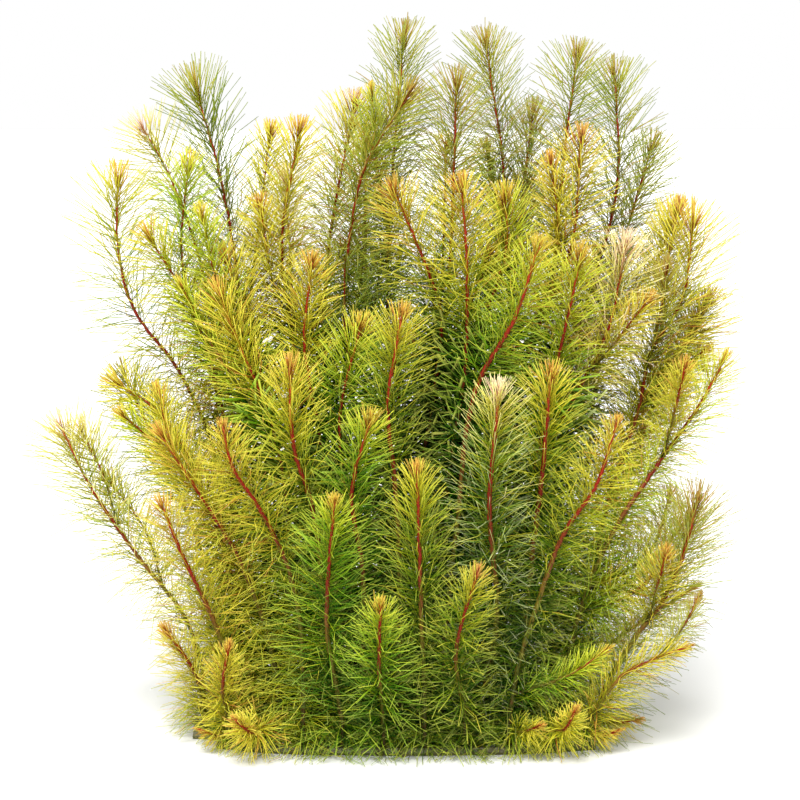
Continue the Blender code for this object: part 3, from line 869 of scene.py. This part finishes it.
    def sow(self, axis: Axis, mood: Mood, rng: np.random.Generator) -> Seeds:
        """Stand the whorls of one stem.

        Args:
            axis: The stem's line.
            mood: How its row fills out and colours.
            rng: The random numbers for this stem.

        Returns:
            The seeds of all its leaves.
        """
        ages = self.whorl_ages(axis, mood)
        counts = np.where(ages < self.spacing_from / 2, self.tip_leaves, self.whorl_leaves)
        counts[mood.deep(ages / MM, axis.at(axis.length - ages))] = self.deep_leaves
        whorl = np.repeat(np.arange(len(ages)), counts)
        number = np.concatenate([np.arange(count) for count in counts])
        total = len(whorl)
        turn = (2 * np.pi * (number / counts[whorl] + whorl * WHORL_TURN)
                + rng.normal(0, self.turn_spread, total))
        age = np.clip(ages[whorl] + rng.normal(0, self.age_spread, total), 0.0, axis.length)
        age_mm = age / MM
        stood = self.stand(axis, age, turn)
        mess = read_off(self.mess, age_mm)
        skirt = np.clip(1 - stood["base"][:, 2] / self.skirt, 0.0, 1.0) * self.skirt_sag
        sag = read_off(self.sags, age_mm) * rng.uniform(*self.sag_range, total) + skirt
        free = mood.openness(stood["base"])
        full = (axis.reach * self.leaf_per_reach * rng.normal(1.0, self.stem_growth_spread)
                * (1 + self.open_growth * free))
        wide = np.maximum(free, 1.0 if axis.reach > self.wide_from else mood.dome)
        lengths = between(read_off(self.lengths, age_mm), read_off(self.open_lengths, age_mm), wide)
        leans = between(read_off(self.leans, age_mm), read_off(self.open_leans, age_mm), wide)
        deep = mood.deep(age_mm, stood["base"])
        width = between(self.width * mood.blade, self.open_width, free)
        return Seeds(
            **stood,
            lean=np.radians(leans * mood.lean + rng.normal(0, self.stem_lean_spread)
                            + rng.normal(0, self.lean_spread, total) * mess),
            bend=np.radians(read_off(self.bends, age_mm)
                            + rng.normal(0, self.bend_spread, total) * mess),
            sag=sag,
            sway=rng.normal(0, self.sway_spread, total) * mess,
            roll=rng.uniform(*self.rolls, total),
            length=(full * lengths
                    * rng.normal(1.0, self.length_spread, total).clip(*self.length_limits)),
            width=np.where(deep, self.deep_width, width) * rng.uniform(*self.width_range, total),
            # Hidden leaves are darkened here as painted shade inside the clump
            shade=mood.shades(age_mm, stood["base"], rng) * np.where(deep, mood.deep_shade, 1.0),
        )

    def bud(self, axis: Axis, rng: np.random.Generator) -> Seeds:
        """Stand the youngest leaves, which are still folded together at the stem's tip.

        Args:
            axis: The stem's line.
            rng: The random numbers for this stem.

        Returns:
            The seeds of the bud's leaves.
        """
        total = self.bud_leaves
        age = rng.uniform(0.0, self.bud_depth, total)
        return Seeds(
            **self.stand(axis, age, np.arange(total) * LEAF_TURN),
            lean=np.radians(np.abs(rng.normal(*self.bud_lean, total))),
            bend=np.radians(rng.uniform(*self.bud_bends, total)),
            sag=np.zeros(total),
            sway=rng.normal(0, self.bud_sway, total),
            roll=rng.uniform(*self.rolls, total),
            length=axis.reach * self.leaf_per_reach * rng.uniform(*self.bud_length, total),
            width=self.width * rng.uniform(*self.bud_widths, total),
            shade=rng.uniform(*self.bud_shades, total),
        )

    def litter(self, axis: Axis, places: np.ndarray, turn: np.ndarray,
               rng: np.random.Generator) -> Seeds:
        """Stand old leaves, which hang over the ground.

        Args:
            axis: The line of the stem or runner.
            places: Each leaf's distance from the line's start.
            turn: The angle round the line that each leaf grows at.
            rng: The random numbers for these leaves.

        Returns:
            The seeds of the old leaves.
        """
        total = len(places)
        return Seeds(
            **self.stand(axis, axis.length - places, turn),
            lean=np.radians(rng.uniform(*self.old_leans, total)),
            bend=np.radians(rng.uniform(*self.old_bends, total)),
            sag=rng.uniform(*self.old_sags, total),
            sway=rng.normal(0, self.old_sway, total),
            roll=rng.uniform(*self.rolls, total),
            length=axis.reach * self.leaf_per_reach * rng.uniform(*self.old_lengths, total),
            width=self.width * rng.uniform(*self.old_widths, total),
            shade=rng.uniform(*self.old_shades, total),
        )

    def foot_leaves(self, axis: Axis, mood: Mood, rng: np.random.Generator) -> Seeds:
        """The old leaves round a stem's foot."""
        places = rng.uniform(self.bare_foot, self.skirt_top, int(self.skirt_leaves * mood.litter))
        return self.litter(axis, places, np.arange(len(places)) * LEAF_TURN, rng)

    def runner_leaves(self, axis: Axis, mood: Mood, rng: np.random.Generator) -> Seeds:
        """Stand the old leaves on both sides of a runner.

        Args:
            axis: The line along the top of the runner.
            mood: How its row fills out.
            rng: The random numbers for these leaves.

        Returns:
            The seeds of the old leaves.
        """
        total = int(axis.length / self.runner_gap * mood.litter)
        turn = rng.uniform(-self.runner_turn, self.runner_turn, total)
        return self.litter(axis, rng.uniform(0.0, axis.length, total), turn, rng)

    def points(self, seeds: Seeds) -> np.ndarray:
        """Bend the modelled leaf to every seed.

        Args:
            seeds: Where and how its copies grow.

        Returns:
            The points of all copies, leaf by leaf.
        """
        share = self.leaf.points[None, :, 2]
        lean = seeds.lean[:, None]
        bend = np.where(np.abs(seeds.bend) < self.least_bend, self.least_bend, seeds.bend)[:, None]
        angle = lean + bend * share
        rise = (np.sin(angle) - np.sin(lean)) / bend
        reach = (np.cos(lean) - np.cos(angle)) / bend
        along, out = seeds.along[:, None], seeds.out[:, None]
        side = np.cross(seeds.along, seeds.out)[:, None]
        swing = seeds.sway[:, None] * np.sin(np.pi * share)
        centre = seeds.base[:, None] + seeds.length[:, None, None] * (
            along * rise[..., None] + out * reach[..., None] + side * swing[..., None]
            - UP * (seeds.sag[:, None] * share**2)[..., None])
        centre[..., 2] = np.maximum(centre[..., 2], self.ground)
        normal = out * np.cos(angle)[..., None] - along * np.sin(angle)[..., None]
        flat, thick = self.leaf.points[None, :, 0], self.leaf.points[None, :, 1]
        cos, sin = np.cos(seeds.roll)[:, None], np.sin(seeds.roll)[:, None]
        width = seeds.width[:, None]
        sideways = width * (flat * cos - thick * sin)
        upright = width * (flat * sin + thick * cos)
        return centre + side * sideways[..., None] + normal * upright[..., None]

    def piece(self, name: str, seeds: Seeds, finish: LeafFinish) -> bpy.types.Object:
        """Join all leaves of some stems in one mesh.

        Args:
            name: The piece's name.
            seeds: The leaves.
            finish: Their finish.

        Returns:
            The piece, with its map and material.
        """
        points = self.points(seeds).reshape(-1, 3)
        count, corners = len(seeds.shade), len(self.leaf.points)
        corner_of_face = np.concatenate([np.array(face) for face in self.leaf.faces])
        loops = (corner_of_face[None] + np.arange(count)[:, None] * corners).ravel()
        sizes = np.tile([len(face) for face in self.leaf.faces], count)
        spread = np.sign(np.round(self.leaf.points[:, 0], self.map_digits)) * self.map_width
        # V: each leaf's shade by age, with the painted shade and light that its mood gives it
        age = np.clip(seeds.shade[:, None] + spread[None], 0.0, 1.0)
        base_to_end = np.broadcast_to(self.leaf.points[None, :, 2], age.shape)
        places = np.stack([base_to_end, age], axis=2).reshape(-1, 2)
        mesh = bpy.data.meshes.new(name)
        mesh.vertices.add(len(points))
        mesh.vertices.foreach_set("co", points.astype(np.float32).ravel())
        mesh.loops.add(len(loops))
        mesh.loops.foreach_set("vertex_index", loops.astype(np.int32))
        mesh.polygons.add(len(sizes))
        starts = np.concatenate([[0], np.cumsum(sizes)[:-1]])
        mesh.polygons.foreach_set("loop_start", starts.astype(np.int32))
        mesh.update(calc_edges=True)
        layer = mesh.uv_layers.new(name=BAKE_MAP)
        layer.data.foreach_set("uv", places[loops].astype(np.float32).ravel())
        mesh.shade_smooth()
        mesh.materials.append(finish.material())
        return add_object(name, mesh)


@dataclass
class Stems:
    """The shoots' stems: tapered tubes with a swelling at every internode."""

    finish: StemFinish = field(default_factory=StemFinish)
    foot_radius: float = 1.1 * MM
    tip_radius: float = 0.45 * MM
    taper: float = 90.0 * MM
    taper_power: float = 0.6
    internode: float = 5.6 * MM
    least_points: int = 4
    swelling: float = 1.18
    wander: float = 0.14 * MM
    weld: float = 0.001 * MM

    def radii(self, axis: Axis, places: np.ndarray) -> np.ndarray:
        """Size a stem, with a swelling at every second point.

        Args:
            axis: The stem's line.
            places: The points' distances from its foot.

        Returns:
            The radius at each point.
        """
        share = np.clip((axis.length - places) / self.taper, 0.0, 1.0) ** self.taper_power
        swellings = np.where(np.arange(len(places)) % 2, self.swelling, 1.0)
        return between(self.tip_radius, self.foot_radius, share) * axis.stem * swellings

    def piece(self, name: str, axes: list[Axis], rng: np.random.Generator) -> bpy.types.Object:
        """Sweep the stems of some shoots.

        Args:
            name: The piece's name.
            axes: The stems' lines.
            rng: The random numbers for their small wanderings.

        Returns:
            One mesh of all the stems, with its map and material.
        """
        curve = bpy.data.curves.new(name, "CURVE")
        curve.dimensions = "3D"
        curve.bevel_depth = 1.0
        curve.bevel_resolution = 1
        curve.use_fill_caps = True
        for axis in axes:
            count = max(self.least_points, int(axis.length / (self.internode / 2)))
            places = np.linspace(0.0, axis.length, count)
            points = axis.at(places) + rng.normal(0, self.wander, (count, 3))
            spline = curve.splines.new("POLY")
            spline.points.add(count - 1)
            spline.points.foreach_set(
                "co", np.hstack([points, np.ones((count, 1))]).astype(np.float32).ravel())
            spline.points.foreach_set("radius", self.radii(axis, places).astype(np.float32))
        made = add_object(name, curve)
        bpy.ops.object.select_all(action="DESELECT")
        bpy.context.view_layer.objects.active = made
        made.select_set(True)
        bpy.ops.object.convert(target="MESH")
        made = bpy.context.object
        bpy.ops.object.mode_set(mode="EDIT")
        bpy.ops.mesh.select_all(action="SELECT")
        bpy.ops.mesh.remove_doubles(threshold=self.weld)
        bpy.ops.object.mode_set(mode="OBJECT")
        made.data.uv_layers[0].name = BAKE_MAP
        made.data.shade_smooth()
        made.data.materials.clear()
        made.data.materials.append(self.finish.material())
        return made


class Layer(NamedTuple):
    """Some rows of the clump that are dressed together, and how full each of them is."""

    name: str
    moods: dict[str, Mood]


@dataclass
class Clump:
    """The whole plant: its shoots and twigs, dressed layer by layer, and its runners."""

    layers: tuple[Layer, ...] = (
        Layer("front", {
            "front": Mood(stem=1.05, dome=0.15, litter=1.4),
            "near": Mood(stem=1.12, dome=0.55)}),
        Layer("middle", {
            "middle": Mood(stem=0.82, blade=1.15, dome=0.6, litter=0.3, deep_from=65),
            "heart": Mood(stem=0.7, blade=1.3, dome=0.7, litter=0.3, deep_from=50)}),
        Layer("back", {
            "crown": Mood(stem=0.66, blade=1.2, lean=0.92, dome=0.8, litter=0.3, deep_from=50),
            "back": Mood(stem=0.66, blade=1.1, dome=0.6, litter=1.1),
            "rear": Mood(stem=0.8, dome=0.4, litter=2.0)}),
    )
    step: float = 2.0 * MM
    twig_stem: float = 0.75
    foliage: Foliage = field(default_factory=Foliage)
    stems: Stems = field(default_factory=Stems)

    def lay_axes(self, row: Row, stem: float) -> list[Axis]:
        """Lay the lines of a row's stems and of the twigs that fork off them.

        Args:
            row: The row's planting.
            stem: How thick its stems are, as a share of the full thickness.

        Returns:
            The axes of its shoots, then of its twigs.
        """
        axes = []
        for number, shoot in enumerate(row.shoots, 1):
            name = f"{row.zone}_shoot_{number:02d}"
            line = smooth_line(shoot.knots(), self.step)
            axes.append(Axis(name, shoot.tone, line, shoot.reach * MM, stem))
        for twig in row.twigs:
            parent = axes[twig.shoot - 1]
            fork = parent.at(np.array([parent.length * twig.share]))
            line = smooth_line(np.vstack([fork, np.array(twig.route) * MM]), self.step)
            axes.append(Axis(parent.name, twig.tone, line, twig.reach * MM,
                             stem * self.twig_stem, forks=True))
        return axes

    def lay_runner(self, row: Row) -> Axis:
        """Lay the line along the top of a row's runner."""
        knots = np.array([(*shoot.foot, FOOT_GROUND) for shoot in row.shoots]) * MM
        return Axis(row.zone, GOLDEN, smooth_line(knots, self.step), SHORT_REACH * MM)

    def build(self) -> None:
        """Dress the layers, then the runners."""
        for number, layer in enumerate(self.layers):
            rng = np.random.default_rng(number)
            sown: dict[Tone, list[tuple[Axis, Seeds]]] = {tone: [] for tone in Tone}
            axes, fringe = [], []
            for row in PLAN:
                if row.zone in layer.moods:
                    mood = layer.moods[row.zone]
                    for axis in self.lay_axes(row, mood.stem):
                        lots = [self.foliage.sow(axis, mood, rng), self.foliage.bud(axis, rng)]
                        if not axis.forks:
                            lots.append(self.foliage.foot_leaves(axis, mood, rng))
                        sown[axis.tone].append((axis, Seeds.joined(lots)))
                        axes.append(axis)
                    runner = self.lay_runner(row)
                    fringe.append(self.foliage.runner_leaves(runner, mood, rng))
            self.fit(self.stems.piece(f"{layer.name}_stems", axes, rng), axes)
            for tone, lots in sown.items():
                if lots:
                    name = f"{layer.name}_leaves_{tone.value}"
                    fallen = fringe if tone is GOLDEN else []
                    seeds = Seeds.joined([lot for _, lot in lots] + fallen)
                    leaves = self.foliage.piece(name, seeds, LEAF_FINISHES[tone])
                    self.fit(leaves, [axis for axis, _ in lots])
        rootstock = frame["nodes"]["rootstock"]
        rootstock.data.materials.clear()
        rootstock.data.materials.append(RunnerFinish().material())
        log.info("rootstock dressed")

    def fit(self, piece: bpy.types.Object, axes: list[Axis]) -> None:
        """Fix a piece to the clump in place of its shoots' solids.

        Args:
            piece: The finished piece.
            axes: The stems that it belongs to.
        """
        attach(piece, BODY)
        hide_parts(*[axis.name for axis in axes if not axis.forks])
        triangles = sum(len(face.vertices) - 2 for face in piece.data.polygons)
        log.info("%s: %d stems, %d triangles", piece.name, len(axes), triangles)


@dataclass
class Studio:
    """The plain pale floor, the soft light and the camera at the photograph's viewing angle."""

    camera_distance: float = 1.5
    camera_elevation_deg: float = 8.0
    lens_mm: float = 135.0
    target_height: float = 0.166
    floor_size: float = 12.0
    floor_colour: str = "E2E2E0"
    floor_roughness: float = 0.9
    backdrop_strength: float = 1.0
    sky_low: float = 0.42
    sky_high: float = 1.15
    sky_high_from: float = 0.8
    key_strength: float = 4.4
    key_angle_deg: float = 30.0
    key_direction: Point = (0.16, 0.8, -1.05)

    def build(self) -> None:
        """Make the floor, the lights and the camera."""
        self.add_floor()
        self.add_light()
        self.add_camera()
        log.info("studio ready")

    def add_floor(self) -> None:
        """Lay a wide pale floor."""
        bpy.ops.object.select_all(action="DESELECT")
        bpy.ops.mesh.primitive_plane_add(size=self.floor_size, location=(0.0, 0.0, 0.0))
        floor = bpy.context.object
        floor.name = "floor"
        made, tree = new_material("matt_paint")
        put_shader(tree, Base_Color=linear(self.floor_colour), Roughness=self.floor_roughness)
        floor.data.materials.append(made)

    def add_light(self) -> None:
        """Light the clump from a sky that is brighter overhead, with a soft key light."""
        world = bpy.data.worlds.new("studio_sky")
        world.use_nodes = True
        tree = world.node_tree
        tree.nodes.clear()
        place = add_node(tree, "TexCoord")
        height = add_node(tree, "SeparateXYZ", Vector=place.outputs["Generated"])
        strength = add_node(tree, "MapRange", Value=height.outputs["Z"],
                            From_Min=0.0, From_Max=self.sky_high_from,
                            To_Min=self.sky_low, To_Max=self.sky_high)
        light = add_node(tree, "Background", Strength=strength.outputs["Result"])
        backdrop = add_node(tree, "Background", Strength=self.backdrop_strength)
        for shade in (light, backdrop):
            shade.inputs["Color"].default_value = (1.0, 1.0, 1.0, 1.0)
        seen = add_node(tree, "LightPath").outputs["Is Camera Ray"]
        sky = add_node(tree, "MixShader", i0=seen, i1=light.outputs["Background"],
                       i2=backdrop.outputs["Background"])
        add_node(tree, "OutputWorld", Surface=sky.outputs["Shader"])
        bpy.context.scene.world = world
        lamp = bpy.data.lights.new("key_light", "SUN")
        lamp.energy = self.key_strength
        lamp.angle = math.radians(self.key_angle_deg)
        key = add_object("key_light", lamp)
        key.rotation_euler = Vector(self.key_direction).to_track_quat("-Z", "Y").to_euler()

    def add_camera(self) -> None:
        """Set the camera that the photograph was taken with."""
        lens = bpy.data.cameras.new("camera")
        lens.lens = self.lens_mm
        camera = add_object("camera", lens)
        tilt = math.radians(self.camera_elevation_deg)
        back = Vector((0.0, -math.cos(tilt), math.sin(tilt)))
        camera.location = Vector((0.0, 0.0, self.target_height)) + back * self.camera_distance
        camera.rotation_euler = (-back).to_track_quat("-Z", "Y").to_euler()
        bpy.context.scene.camera = camera


def main() -> None:
    """Build the studio and the clump, and write how large the clump has become."""
    logging.basicConfig(level=logging.INFO, format="%(message)s")
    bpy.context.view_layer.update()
    bpy.context.scene.view_settings.view_transform = "Standard"
    Studio().build()
    Clump().build()


if __name__ == "__main__":
    main()
